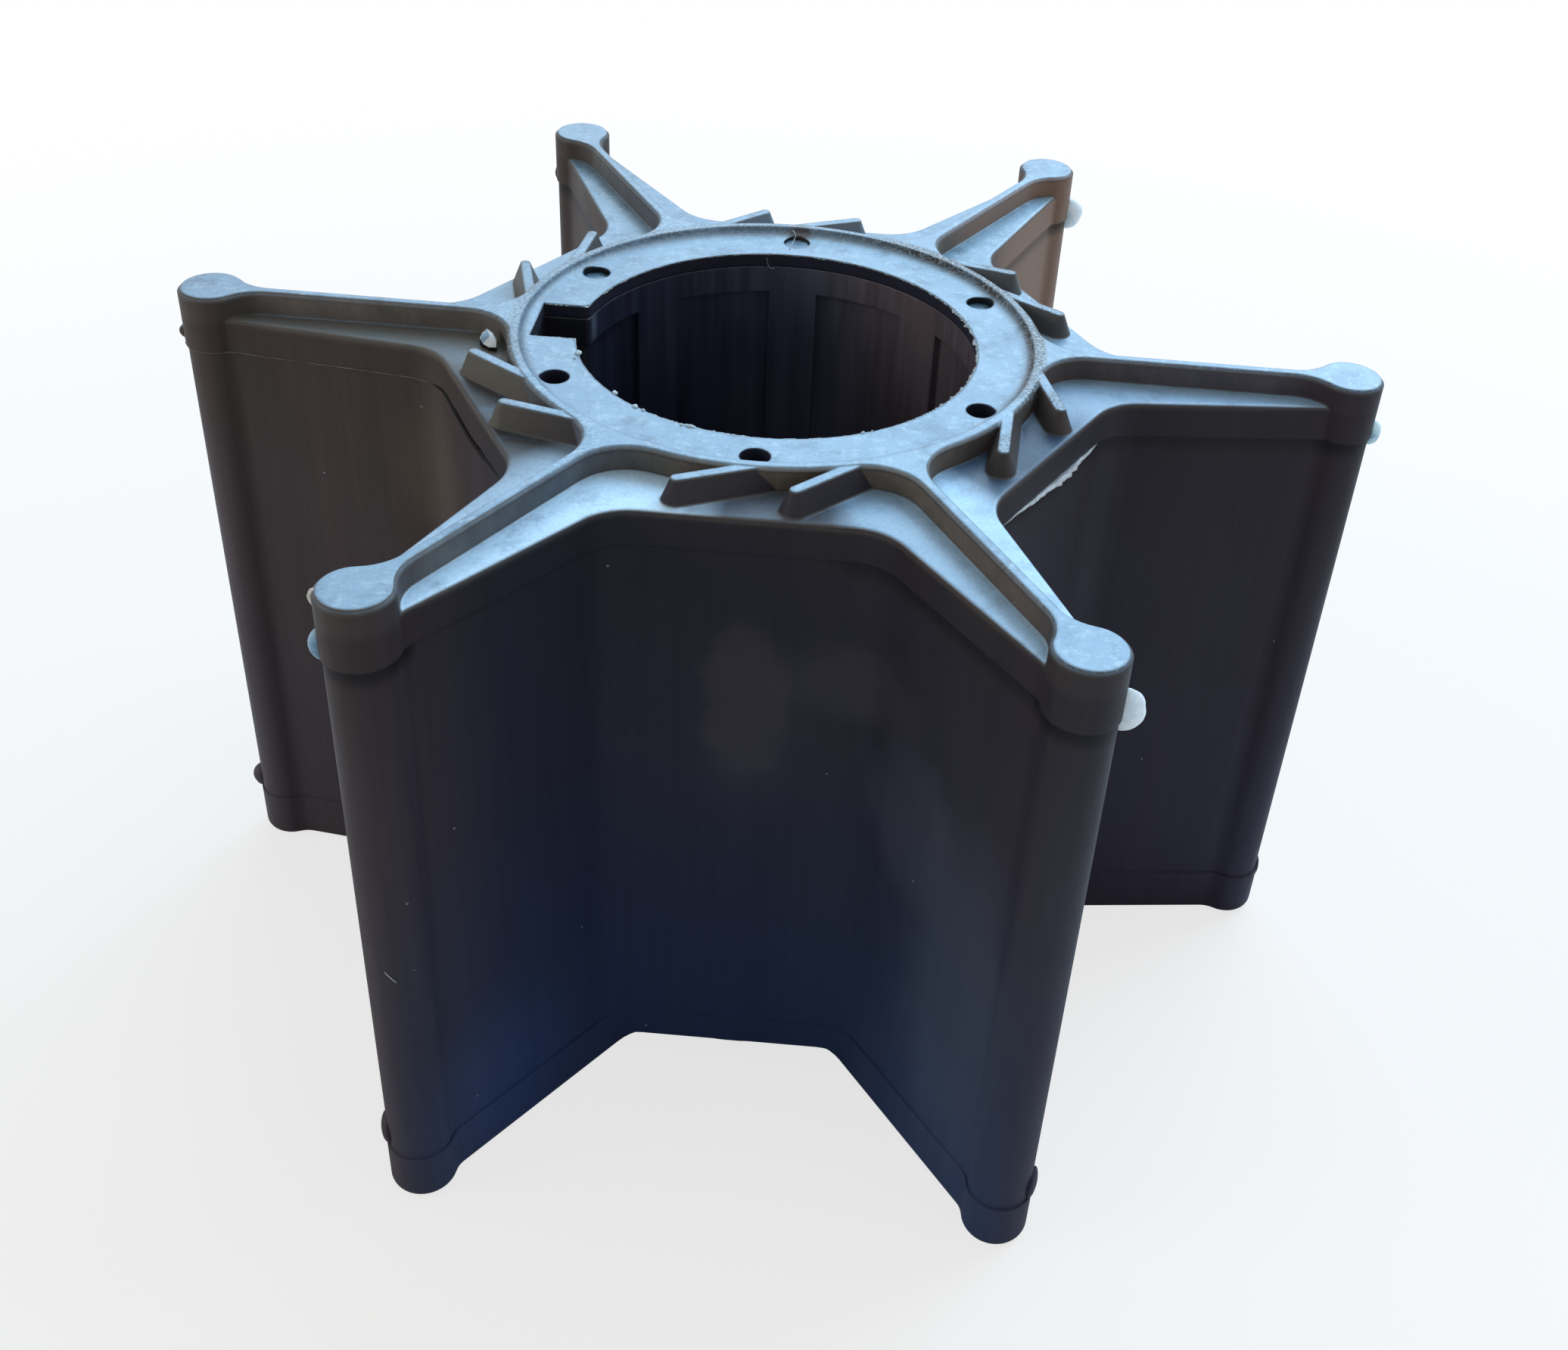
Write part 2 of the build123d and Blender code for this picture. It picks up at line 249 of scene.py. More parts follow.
def nitrileRubber(look):
    # Nitrile rubber, compression moulded: a near-black skin with upright flow streaks on the walls. The end
    # faces are finely grained and coated; their pale blue base colour is painted light, standing in for the
    # bright sky they reflect, and the walls carry painted light, shade and reflection too.
    material, tree = newMaterial("nitrileRubberMoulded")
    inMm = placeInMm(tree)
    split = addNode(tree, "ShaderNodeSeparateXYZ", {0: inMm})
    soft = addNode(tree, "ShaderNodeBevel", {"Radius": look["edgeRadius"] * mm}, samples=look["edgeSamples"])
    softLocal = addNode(tree, "ShaderNodeVectorTransform", {0: soft.outputs[0]}, vector_type="NORMAL",
                        convert_from="WORLD", convert_to="OBJECT")
    facing = addNode(tree, "ShaderNodeSeparateXYZ", {0: softLocal.outputs[0]})
    aside = addNode(tree, "ShaderNodeMath", {0: split.outputs["X"]}, operation="ABSOLUTE")
    flat = addNode(tree, "ShaderNodeVectorMath", {0: inMm, 1: (1, 1, 0)}, operation="MULTIPLY")
    fromAxis = addNode(tree, "ShaderNodeVectorMath", {0: flat.outputs[0]}, operation="LENGTH")
    turn = addNode(tree, "ShaderNodeMath", {0: split.outputs["Y"], 1: split.outputs["X"]},
                   operation="ARCTAN2")
    bearing = addNode(tree, "ShaderNodeMath", {0: turn.outputs[0]}, operation="DEGREES")
    known = {"x": split.outputs["X"], "y": split.outputs["Y"], "z": split.outputs["Z"],
             "lean": facing.outputs["Z"], "toRear": facing.outputs["Y"], "aside": aside.outputs[0],
             "fromAxis": fromAxis.outputs["Value"], "bearing": bearing.outputs[0]}

    # patterns, and what is worked out from them
    drawn = addNode(tree, "ShaderNodeVectorMath", {0: inMm, 1: look["uprightDraw"]}, operation="MULTIPLY")
    for name, (run, size, detail, roughness, distortion) in look["patterns"].items():
        pattern = addNode(tree, "ShaderNodeTexNoise", {
            "Vector": inMm if run == "even" else drawn.outputs[0], "Scale": 1 / size, "Detail": detail,
            "Roughness": roughness, "Distortion": distortion})
        known[name], known[name + "Colour"] = pattern.outputs[:2]
    streakSum = addNode(tree, "ShaderNodeMath", {0: known["streaks"], 1: known["broad"]}, operation="ADD")
    fromSmudge = addNode(tree, "ShaderNodeVectorMath", {0: inMm, 1: look["smudgeAt"]}, operation="DISTANCE")
    ragged = addNode(tree, "ShaderNodeMath", {0: known["scuffs"], 1: look["smudgeRagged"],
                                              2: fromSmudge.outputs["Value"]}, operation="MULTIPLY_ADD")
    known.update(streakSum=streakSum.outputs[0], ragged=ragged.outputs[0])

    # smears are ellipsoids with wavering edges
    centred = addNode(tree, "ShaderNodeVectorMath", {0: known["wobbleColour"], 1: (0.5, 0.5, 0.5)},
                      operation="SUBTRACT")
    wobbled = addNode(tree, "ShaderNodeVectorMath", {0: centred.outputs[0], 1: (look["smearWobble"],) * 3,
                                                     2: inMm}, operation="MULTIPLY_ADD")
    for name, (centre, reachEach, fadeFrom) in look["smears"].items():
        offset = addNode(tree, "ShaderNodeVectorMath", {0: wobbled.outputs[0], 1: centre},
                         operation="SUBTRACT")
        squeezed = addNode(tree, "ShaderNodeVectorMath", {0: offset.outputs[0], 1: reachEach},
                           operation="DIVIDE")
        reach = addNode(tree, "ShaderNodeVectorMath", {0: squeezed.outputs[0]}, operation="LENGTH")
        known["reach"] = reach.outputs["Value"]
        rows = [("reach", fadeFrom, look["smearEnd"], 1.0, 0.0), look["smearBreaks"]]
        addShares(tree, known, {name: rows}, "SMOOTHSTEP")

    # dust specks
    cells = addNode(tree, "ShaderNodeTexVoronoi", {"Vector": inMm, "Scale": 1 / look["speckCell"]})
    small = addNode(tree, "ShaderNodeMath", {0: cells.outputs["Distance"], 1: look["speckReach"]},
                    operation="LESS_THAN")
    lot = addNode(tree, "ShaderNodeSeparateColor", {0: cells.outputs["Color"]})
    few = addNode(tree, "ShaderNodeMath", {0: lot.outputs[0], 1: look["speckRarity"]},
                  operation="GREATER_THAN")
    speck = addNode(tree, "ShaderNodeMath", {0: small.outputs[0], 1: few.outputs[0]}, operation="MULTIPLY")
    dusty = addNode(tree, "ShaderNodeMath", {0: speck.outputs[0], 1: look["speckStrength"]},
                    operation="MULTIPLY")
    known["dusty"] = dusty.outputs[0]

    # shares, gains and ramps, and the tones that are stacked up from them
    addShares(tree, known, look["shares"], "SMOOTHSTEP")
    for name, first, second in (("sideways", "sideVane", "rearSide"), ("shadeUnderLip", "bulbLip", "rightLip")):
        known[name] = addNode(tree, "ShaderNodeMath", {0: known[first], 1: known[second]},
                              operation="MAXIMUM").outputs[0]
    shifted = addNode(tree, "ShaderNodeMath", {0: known["x"], 1: known["frontShift"]}, operation="ADD")
    known["shifted"] = shifted.outputs[0]
    addShares(tree, known, look["gains"], "LINEAR")
    grainGain = addNode(tree, "ShaderNodeMix", {0: known["coarseCrest"], 2: known["fineGrain"],
                                                3: known["coarseGrain"]})
    known["grainGain"] = grainGain.outputs[0]
    for name, (along, stops) in look["ramps"].items():
        ramp = addNode(tree, "ShaderNodeValToRGB", {"Fac": known[along]})
        fillRamp(ramp, stops)
        known[name] = ramp.outputs[0]
    addStacks(tree, known, look["stacks"])

    # gloss: bare on the walls and waxed on the end faces
    rough = addNode(tree, "ShaderNodeMix", {0: known["upward"], 2: known["wallRough"], 3: known["topRough"]})
    addShares(tree, known, look["wax"], "SMOOTHSTEP")
    ledgeWax = addNode(tree, "ShaderNodeMix", {0: known["ledge"], 2: 1.0, 3: known["onLedge"]})
    coat = known["upward"]
    for share in (known["waxScuff"], ledgeWax.outputs[0], known["onFin"]):
        coat = addNode(tree, "ShaderNodeMath", {0: coat, 1: share}, operation="MULTIPLY").outputs[0]

    relief = addNode(tree, "ShaderNodeMath", {0: known["flecks"], 1: look["fleckRelief"], 2: known["grain"]},
                     operation="MULTIPLY_ADD")
    bump = addNode(tree, "ShaderNodeBump", {
        "Height": relief.outputs[0], "Strength": look["bumpStrength"], "Distance": look["bumpDepth"] * mm,
        "Normal": soft.outputs[0]})
    shader = addNode(tree, "ShaderNodeBsdfPrincipled", {
        "Base Color": known["skinTone"], "Roughness": rough.outputs[0], "IOR": look["ior"],
        "Specular IOR Level": look["specular"], "Coat Weight": coat, "Coat Roughness": look["coatRough"],
        "Coat IOR": look["coatIor"], "Normal": bump.outputs[0], "Coat Normal": bump.outputs[0]})
    addNode(tree, "ShaderNodeOutputMaterial", {"Surface": shader.outputs[0]})
    return material


rubberSkin = nitrileRubber(rubberLook)
wear(rubberBody, rubberSkin)
print("rubber body dressed")


# ---- glass-filled nylon of the bush

bushLook = {
    # across the bore, from the keyway side to the other
    "across": [(0.0, "#1d2235"), (0.35, "#34384e"), (0.6, "#525464"), (0.85, "#685f64"), (1.0, "#565056")],
    # glass fibres are 0.01 mm thick, and are drawn coarse enough to show
    "fibreSize": 0.25, "patchSize": 8.333, "patchSway": 8.0, "markSize": 0.625, "markDraw": (1, 1, 0.05),
    "gains": {"cast": [("sway", -7.0, 15.0)], "slot": [("x", -10.9, -11.05)],
              "marked": [("marks", 0.3, 0.7, 0.8, 1.2)], "rough": [("marks", 0.3, 0.7, 0.34, 0.48)]},
    # a painted highlight on the upright edge where keyway and bore meet
    "edgeAt": (-10.65, 2.7, 0),
    "shares": {"edgeHighlight": [("fromEdge", 0.6, 0.0, 0.0, 0.28), ("z", 35.6, 37.4), ("z", 37.93, 37.88)]},
    # the slot is painted near black as painted shade in the keyway, and the edge layer is a painted highlight
    "layers": [(1.0, "marked", "MULTIPLY"), ("slot", "#16171e"), ("edgeHighlight", "#8f9bb0")],
    "ior": 1.53, "edgeRadius": 0.12, "edgeSamples": 4, "bumpStrength": 0.12, "bumpDepth": 0.02,
}


def filledNylon(look):
    # Glass-filled nylon, injection moulded: black with a faint brown cast in places, a little glossier than
    # the rubber, with fine draw marks along the bore. The keyway slot is painted near black as painted shade,
    # and a painted highlight runs down the edge where keyway and bore meet.
    material, tree = newMaterial("glassFilledNylonMoulded")
    inMm = placeInMm(tree)
    split = addNode(tree, "ShaderNodeSeparateXYZ", {0: inMm})
    fibres = addNode(tree, "ShaderNodeTexNoise", {"Vector": inMm, "Scale": 1 / look["fibreSize"],
                                                  "Detail": 3.0})
    patches = addNode(tree, "ShaderNodeTexNoise", {"Vector": inMm, "Scale": 1 / look["patchSize"],
                                                   "Detail": 2.0})
    sway = addNode(tree, "ShaderNodeMath", {0: patches.outputs[0], 1: look["patchSway"],
                                            2: split.outputs["X"]}, operation="MULTIPLY_ADD")
    drawn = addNode(tree, "ShaderNodeVectorMath", {0: inMm, 1: look["markDraw"]}, operation="MULTIPLY")
    marks = addNode(tree, "ShaderNodeTexNoise", {"Vector": drawn.outputs[0], "Scale": 1 / look["markSize"],
                                                 "Detail": 3.0})
    flat = addNode(tree, "ShaderNodeVectorMath", {0: inMm, 1: (1, 1, 0)}, operation="MULTIPLY")
    fromEdge = addNode(tree, "ShaderNodeVectorMath", {0: flat.outputs[0], 1: look["edgeAt"]},
                       operation="DISTANCE")
    known = {"x": split.outputs["X"], "z": split.outputs["Z"], "sway": sway.outputs[0],
             "marks": marks.outputs[0], "fromEdge": fromEdge.outputs["Value"]}
    addShares(tree, known, look["gains"], "LINEAR")
    addShares(tree, known, look["shares"], "SMOOTHSTEP")
    castTone = addNode(tree, "ShaderNodeValToRGB", {"Fac": known["cast"]})
    fillRamp(castTone, look["across"])
    known["castTone"] = castTone.outputs[0]
    addStacks(tree, known, {"tone": ("castTone", look["layers"])})
    edge = addNode(tree, "ShaderNodeBevel", {"Radius": look["edgeRadius"] * mm}, samples=look["edgeSamples"])
    bump = addNode(tree, "ShaderNodeBump", {
        "Height": fibres.outputs[0], "Strength": look["bumpStrength"], "Distance": look["bumpDepth"] * mm,
        "Normal": edge.outputs[0]})
    shader = addNode(tree, "ShaderNodeBsdfPrincipled", {
        "Base Color": known["tone"], "Roughness": known["rough"], "IOR": look["ior"],
        "Normal": bump.outputs[0]})
    addNode(tree, "ShaderNodeOutputMaterial", {"Surface": shader.outputs[0]})
    return material


wear(hubBush, filledNylon(bushLook))
print("hub bush dressed")


# ---- torn flash, a thin skin painted paler than the body as painted highlights, and in one tone as painted shade

flashLook = {
    # tone: torn through, left whole
    # the white, pale and worn tones are painted highlights and the dull tone is painted shade; the pale tone
    # also colours real lint
    "white": ("#f4fdff", "#dcecf2"), "pale": ("#c9eaf4", "#93b2c2"), "dull": ("#86abc6", "#6a8ba4"),
    "warmGlint": ("#c9c0b4", "#8f877d"),
    "tearSize": 0.625, "ior": 1.5, "letsIn": 0.9, "depth": 1.6, "bumpStrength": 0.2, "bumpDepth": 0.04,
    "gains": {"torn": [("tears", 0.36, 0.56)], "rough": [("tears", 0.0, 1.0, 0.26, 0.46)]},
}


def tornFlash(name, tone, look):
    # Thin torn rubber skin: stretched and waxy, so light passes into it. It is painted pale as a painted
    # highlight for the glints on it.
    material, tree = newMaterial(name)
    pale, grey = look[tone]
    tears = addNode(tree, "ShaderNodeTexNoise", {"Vector": placeInMm(tree), "Scale": 1 / look["tearSize"],
                                                 "Detail": 4.0})
    known = {"tears": tears.outputs[0]}
    addShares(tree, known, look["gains"], "LINEAR")
    addStacks(tree, known, {"colour": (grey, [("torn", pale)])})
    bump = addNode(tree, "ShaderNodeBump", {"Height": tears.outputs[0], "Strength": look["bumpStrength"],
                                            "Distance": look["bumpDepth"] * mm})
    shader = addNode(tree, "ShaderNodeBsdfPrincipled", {
        "Base Color": known["colour"], "Roughness": known["rough"], "IOR": look["ior"],
        "Subsurface Weight": look["letsIn"], "Subsurface Radius": (1.0, 1.0, 1.0),
        "Subsurface Scale": look["depth"] * mm, "Normal": bump.outputs[0]})
    addNode(tree, "ShaderNodeOutputMaterial", {"Surface": shader.outputs[0]})
    return material


flashWhiteGlint = tornFlash("tornFlashWhiteGlint", "white", flashLook)
flashPaleGlintAndLint = tornFlash("tornFlashPaleGlintAndLint", "pale", flashLook)
flashShaded = tornFlash("tornFlashShaded", "dull", flashLook)
flashWarmGlint = tornFlash("tornFlashWarmGlint", "warmGlint", flashLook)


creaseLook = {
    "line": "#8b847e", "crease": "#08080b", "rough": 0.6, "specular": 0.15, "nickSize": 0.909,
    "gains": {"nicked": [("nicks", 0.35, 0.65, 0.45, 1.1)]}, "bumpStrength": 0.3, "bumpDepth": 0.03,
}


def seamRubber(name, tone, look):
    # The rubber along the mould seam, pinched and matt: nearly black as painted shade where it gapes as a
    # crease, and painted pale as a painted highlight where it stands up as a fine line.
    material, tree = newMaterial(name)
    nicks = addNode(tree, "ShaderNodeTexNoise", {"Vector": placeInMm(tree), "Scale": 1 / look["nickSize"],
                                                 "Detail": 3.0})
    known = {"nicks": nicks.outputs[0]}
    addShares(tree, known, look["gains"], "LINEAR")
    addStacks(tree, known, {"colour": (look[tone], [(1.0, "nicked", "MULTIPLY")])})
    bump = addNode(tree, "ShaderNodeBump", {"Height": nicks.outputs[0], "Strength": look["bumpStrength"],
                                            "Distance": look["bumpDepth"] * mm})
    shader = addNode(tree, "ShaderNodeBsdfPrincipled", {
        "Base Color": known["colour"], "Roughness": look["rough"], "Specular IOR Level": look["specular"],
        "Normal": bump.outputs[0]})
    addNode(tree, "ShaderNodeOutputMaterial", {"Surface": shader.outputs[0]})
    return material


seamLineHighlightSkin = seamRubber("nitrileRubberSeamLineHighlight", "line", creaseLook)
seamShadeSkin = seamRubber("nitrileRubberSeamCreaseShade", "crease", creaseLook)
print("flash and seam materials made")


# ---- small helpers for pieces

def newPiece(name, mesh, material, smooth=True):
    mesh.materials.append(material)
    piece = bpy.data.objects.new(name, mesh)
    bpy.context.scene.collection.objects.link(piece)
    for face in mesh.polygons:
        face.use_smooth = smooth
    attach(piece, "root")
    return piece


def toMesh(name, shape):  # turns an edited shape into a mesh and clears it away
    mesh = bpy.data.meshes.new(name)
    shape.to_mesh(mesh)
    shape.free()
    return mesh


def fromRows(name, rows, capped=False):  # skins rows of points, each row a closed section
    shape = bmesh.new()
    grid = [[shape.verts.new(Vector(point) * mm) for point in row] for row in rows]
    for here, there in zip(grid, grid[1:]):
        for j in range(len(here)):
            k = (j + 1) % len(here)
            shape.faces.new((here[j], here[k], there[k], there[j]))
    if capped:
        shape.faces.new(list(reversed(grid[0])))
        shape.faces.new(grid[-1])
    bmesh.ops.recalc_face_normals(shape, faces=shape.faces)
    return toMesh(name, shape)


def onCircle(radius, angle, height=0.0):  # a point at an angle in radians
    return Vector((radius * math.cos(angle), radius * math.sin(angle), height))


def upBy(height):
    return Vector((0, 0, height))


# ---- seam ridges, where the two mould halves met the middle ring of the mould

seamLook = {
    "level": 35.93, "step": 0.22,
    # name: bearing from and to, least and greatest radius, rise, half height, how deep its edges
    # sit, sag, skin
    "runs": {
        # the crease run is a thin near-black strip, painted shade where the seam gapes; the line run is
        # painted pale as a painted highlight
        "seamLineLeft": (168, 192, 17.3, 40, 0.035, 0.05, 0.05, 0.0, seamLineHighlightSkin),
        "seamCreaseShadeLeft": (189, 224, 0, 19.2, 0.035, 0.2, 0.006, 0.5, seamShadeSkin),
    },
    "gritWaves": [(0.9, 0.6), (4.0, 0.4)], "roughness": 0.05, "deepestGrit": -0.6,  # waves to a mm, share
    "driftWave": 0.35, "driftSpot": (7, 3, 1), "drift": 0.05, "swellWave": 0.8, "swell": 0.3,
    "fadeSteps": 9, "fadePower": 0.7,
}


def outlineAt(body, level):  # the outer outline of a node's mesh at one height, in mm, in order
    cut = bmesh.new()
    cut.from_mesh(body.data)
    result = bmesh.ops.bisect_plane(cut, geom=cut.verts[:] + cut.edges[:] + cut.faces[:],
                                    plane_co=(0, 0, level * mm), plane_no=(0, 0, 1))
    edges = [part for part in result["geom_cut"] if isinstance(part, bmesh.types.BMEdge)]
    links = {}
    for edge in edges:
        a, b = (tuple(round(c / mm, 4) for c in vert.co) for vert in edge.verts)
        if a != b:
            links.setdefault(a, []).append(b)
            links.setdefault(b, []).append(a)
    cut.free()
    start = max(links, key=lambda point: math.hypot(point[0], point[1]))
    loop, last, here = [start], None, start
    while True:
        onward = [point for point in links[here]
                  if point != last and (point == start or point not in loop[-3:])]
        if not onward:
            break
        last, here = here, onward[0]
        if here == start:
            break
        loop.append(here)
    return [Vector(point) for point in loop]


def evenSpaced(loop, step):
    spaced, carried = [], 0.0
    for here, there in zip(loop, loop[1:] + loop[:1]):
        length = (there - here).length
        along = carried
        while along < length:
            spaced.append(here.lerp(there, along / length))
            along += step
        carried = along - length
    return spaced


def seamRun(name, look):
    low, high, least, most, rise, half, sunk, sag, skin = look["runs"][name]
    loop = evenSpaced(outlineAt(rubberBody, look["level"]), look["step"])
    turn = sum(a.x * b.y - b.x * a.y for a, b in zip(loop, loop[1:] + loop[:1]))
    side = 1 if turn > 0 else -1

    def inside(point):
        return (low < math.degrees(math.atan2(point.y, point.x)) % 360 < high
                and least < math.hypot(point.x, point.y) < most)

    start = next(i for i, point in enumerate(loop) if inside(point) and not inside(loop[i - 1]))
    loop = loop[start:] + loop[:start]
    length = next((i for i, point in enumerate(loop) if not inside(point)), len(loop))
    rows = []
    for i in range(length):
        point = loop[i]
        along = (loop[(i + 1) % len(loop)] - loop[i - 1]).normalized()
        out = Vector((along.y, -along.x, 0)) * side
        toEnds = min((i + 0.3) / look["fadeSteps"], (length - i - 0.7) / look["fadeSteps"])
        fade = min(1.0, toEnds) ** look["fadePower"]
        grit = sum(noise.noise(point * wave) * share for wave, share in look["gritWaves"])
        drift = look["drift"] * noise.noise(point * look["driftWave"] + Vector(look["driftSpot"]))
        middle = point + upBy(drift - sag * math.sin(math.pi * i / length) ** 2)
        halfHere = half * (1 + look["swell"] * noise.noise(point * look["swellWave"])) * fade
        standsOut = (rise + look["roughness"] * max(grit, look["deepestGrit"])) * fade
        rows.append([middle - out * sunk + upBy(halfHere), middle + out * standsOut,
                     middle - out * sunk - upBy(halfHere)])
    return newPiece(name, fromRows(name, rows), skin)


for runName in seamLook["runs"]:
    seamRun(runName, seamLook)
print("seam line and crease made")


# ---- tags of torn rubber at the sides of the tip bulbs

tagLook = {
    "tipCentre": 31.3, "bulbRadius": 1.8, "sunk": 0.12, "smoothness": 4,
    "lumps": [(1.1, 0.10), (5, 0.02)],  # waves to a tag's half width, how much they add
    # name: vane angle, way out of the bulb, height, half height, half width, stands out, skin
    "tags": {
        # the flash tags are painted pale as painted highlights, the upper front left one in painted shade;
        # the rim tag on the front left bulb stands for a glint
        "tipTagUpperFrontRight": (300, -3, 36.2, 1.15, 0.36, 1.08, flashWhiteGlint),
        "tipTagUpperFrontLeft": (240, 194, 36.35, 0.82, 0.4, 0.52, flashShaded),
        "tipTagRimFrontLeft": (240, 188, 38.72, 0.42, 0.3, 0.3, flashWarmGlint),
        "tipTagUpperRight": (0, -8, 36.0, 0.75, 0.45, 0.6, flashPaleGlintAndLint),
        "tipTagUpperRearRight": (60, 2, 36.1, 1.1, 0.55, 1.1, flashWhiteGlint),
        "tipTagUpperLeft": (180, 186, 36.4, 0.42, 0.3, 0.42, rubberSkin),
        "tipTagUpperRearLeft": (120, 178, 36.2, 0.5, 0.4, 0.25, rubberSkin),
        "tipTagLowerLeft": (180, 186, 3.9, 0.85, 0.6, 0.62, rubberSkin),
        "tipTagLowerFrontLeft": (240, 197, 4.2, 1.05, 0.7, 0.32, rubberSkin),
        "tipTagLowerFrontRight": (300, -12, 4.0, 1.1, 0.7, 0.3, rubberSkin),
        "tipTagLowerRight": (0, -4, 3.1, 0.8, 0.5, 0.22, rubberSkin),
    },
}


def tipTag(name, look):
    vane, way, height, halfHeight, halfWidth, standsOut, skin = look["tags"][name]
    centre = onCircle(look["tipCentre"], math.radians(vane), height)
    out = onCircle(1, math.radians(way))
    across = Vector((-out.y, out.x, 0))
    foot = centre + out * (look["bulbRadius"] - look["sunk"])
    shape = bmesh.new()
    bmesh.ops.create_icosphere(shape, subdivisions=look["smoothness"], radius=1.0)
    for vert in shape.verts:
        lump = 1 + sum(share * noise.noise(vert.co * wave + centre) for wave, share in look["lumps"])
        co = vert.co * lump
        vert.co = (foot + out * co.x * standsOut + across * co.y * halfWidth + upBy(co.z * halfHeight)) * mm
    return newPiece(name, toMesh(name, shape), skin)


for tagName in tagLook["tags"]:
    tipTag(tagName, tagLook)
print("tip tags made")


# ---- ragged flash round the mouth of the bore and along the keyway, and crumbs of it on the rim

# the bore and keyway flash and the crumbs are painted pale as painted highlights
rimLook = {
    "radius": 11.0, "top": 38.735, "thick": 0.12, "lap": 0.03, "lapDrop": 0.004, "edge": 0.015, "bevel": 0.01,
    "sections": 1360, "endBearing": 169.3,  # the skin runs from one side of the keyway to the other
    "leastDepth": 0.03,
    # where the rim is torn most: angle, spread in degrees, depth
    "torn": [(20, 26, 0.26), (-28, 14, 0.16), (-105, 12, 0.14), (150, 14, 0.12), (75, 20, 0.08)],
    # teeth and curl: waves to a degree, where in the noise, how much they add
    "teeth": [(0.75, 0, 5, 1.5), (2.6, 3, 0, 0.6)], "longestTooth": 1.3, "curl": (0.3, 9, 2, 0.03),
}
keyLook = {
    "half": 2.0, "reach": 13.3, "endGap": 0.05, "mouth": 10.85, "sections": 120,
    "sides": {"Rear": (1, 0.16), "Front": (-1, 0.05)},  # side of the keyway, depth of the skin
    "teeth": [(3.2, 1, 5, 1.3), (9.0, 1, 1, 0.7)],  # waves to a millimetre, as above
}
crumbLook = {
    "above": 0.2, "flatness": 0.8, "lumpWave": 1.8, "lumps": 0.45, "smoothness": 3,
    # place, size, how much it is drawn out along the rim
    "crumbs": [(-10.36, -3.64, 0.17, 1.2), (-10.45, -4.25, 0.08, 1.0), (-7.75, -7.62, 0.11, 1.7),
               (-6.5, -8.9, 0.13, 1.3), (-6.05, -9.2, 0.09, 1.2), (-3.95, -10.4, 0.08, 1.0),
               (-3.5, -10.45, 0.12, 2.2), (5.15, -9.7, 0.09, 1.3), (5.6, -9.45, 0.06, 1.0),
               (10.4, 3.45, 0.08, 1.0), (10.75, 1.1, 0.07, 1.2), (-1.45, 10.95, 0.06, 1.0)],
}


def tornTeeth(along, waves, side=1):
    return sum(abs(noise.noise(Vector((along * wave, y * side, z)))) * share for wave, y, z, share in waves)


def skinSection(place, wall, inner, bevel, curl, rim):
    # one section across a torn skin: place gives the point for a distance out and a height
    return [place(wall, rim["top"] - rim["thick"]), place(wall, rim["top"] - rim["lapDrop"]),
            place(inner, rim["top"] + curl), place(inner + bevel, rim["top"] - rim["thick"] * 0.5 + curl)]


def rimFlash(look):
    rows = []
    wave, y, z, curled = look["curl"]
    for i in range(look["sections"]):
        degrees = look["endBearing"] * (2 * i / (look["sections"] - 1) - 1)
        deep = look["leastDepth"]
        for middle, spread, depth in look["torn"]:
            away = (degrees - middle + 180) % 360 - 180
            deep += depth * math.exp(-(away / spread) ** 2)
        teeth = min(tornTeeth(degrees, look["teeth"]), look["longestTooth"])
        inner = look["radius"] - look["edge"] - deep * teeth
        curl = curled * noise.noise(Vector((degrees * wave, y, z)))
        angle = math.radians(degrees)
        rows.append(skinSection(lambda radius, level: onCircle(radius, angle, level),
                                look["radius"] + look["lap"], inner, look["bevel"], curl, look))
    return newPiece("boreRimFlash", fromRows("boreRimFlash", rows, capped=True), flashPaleGlintAndLint)


def keywayFlash(sideName, look, rim):
    side, depth = look["sides"][sideName]
    name = "keywayFlash" + sideName
    rows = []
    for i in range(look["sections"]):
        x = look["endGap"] - look["reach"] + (look["reach"] - look["mouth"]) * i / (look["sections"] - 1)
        inner = look["half"] - rim["edge"] - depth * tornTeeth(x, look["teeth"], side)
        rows.append(skinSection(lambda out, level: Vector((x, out * side, level)),
                                look["half"] + rim["lap"], inner, rim["bevel"], 0.0, rim))
    return newPiece(name, fromRows(name, rows, capped=True), flashPaleGlintAndLint)


def rimCrumbs(look, rim):
    shape = bmesh.new()
    for x, y, size, drawn in look["crumbs"]:
        centre = Vector((x, y, rim["top"] + size * look["above"]))
        along = Vector((-y, x, 0)).normalized()
        out = Vector((along.y, -along.x, 0))
        made = bmesh.ops.create_icosphere(shape, subdivisions=look["smoothness"], radius=1.0)
        for vert in made["verts"]:
            lump = size * (1 + look["lumps"] * noise.noise(vert.co * look["lumpWave"] + centre))
            co = vert.co * lump
            vert.co = (centre + along * co.x * drawn + out * co.y + upBy(co.z * look["flatness"])) * mm
    return newPiece("boreRimCrumbs", toMesh("boreRimCrumbs", shape), flashPaleGlintAndLint)


rimFlash(rimLook)
for sideName in keyLook["sides"]:
    keywayFlash(sideName, keyLook, rimLook)
rimCrumbs(crumbLook, rimLook)
print("bore and keyway flash made")


# ---- the strip of flash left standing on the seam between the right-hand vanes

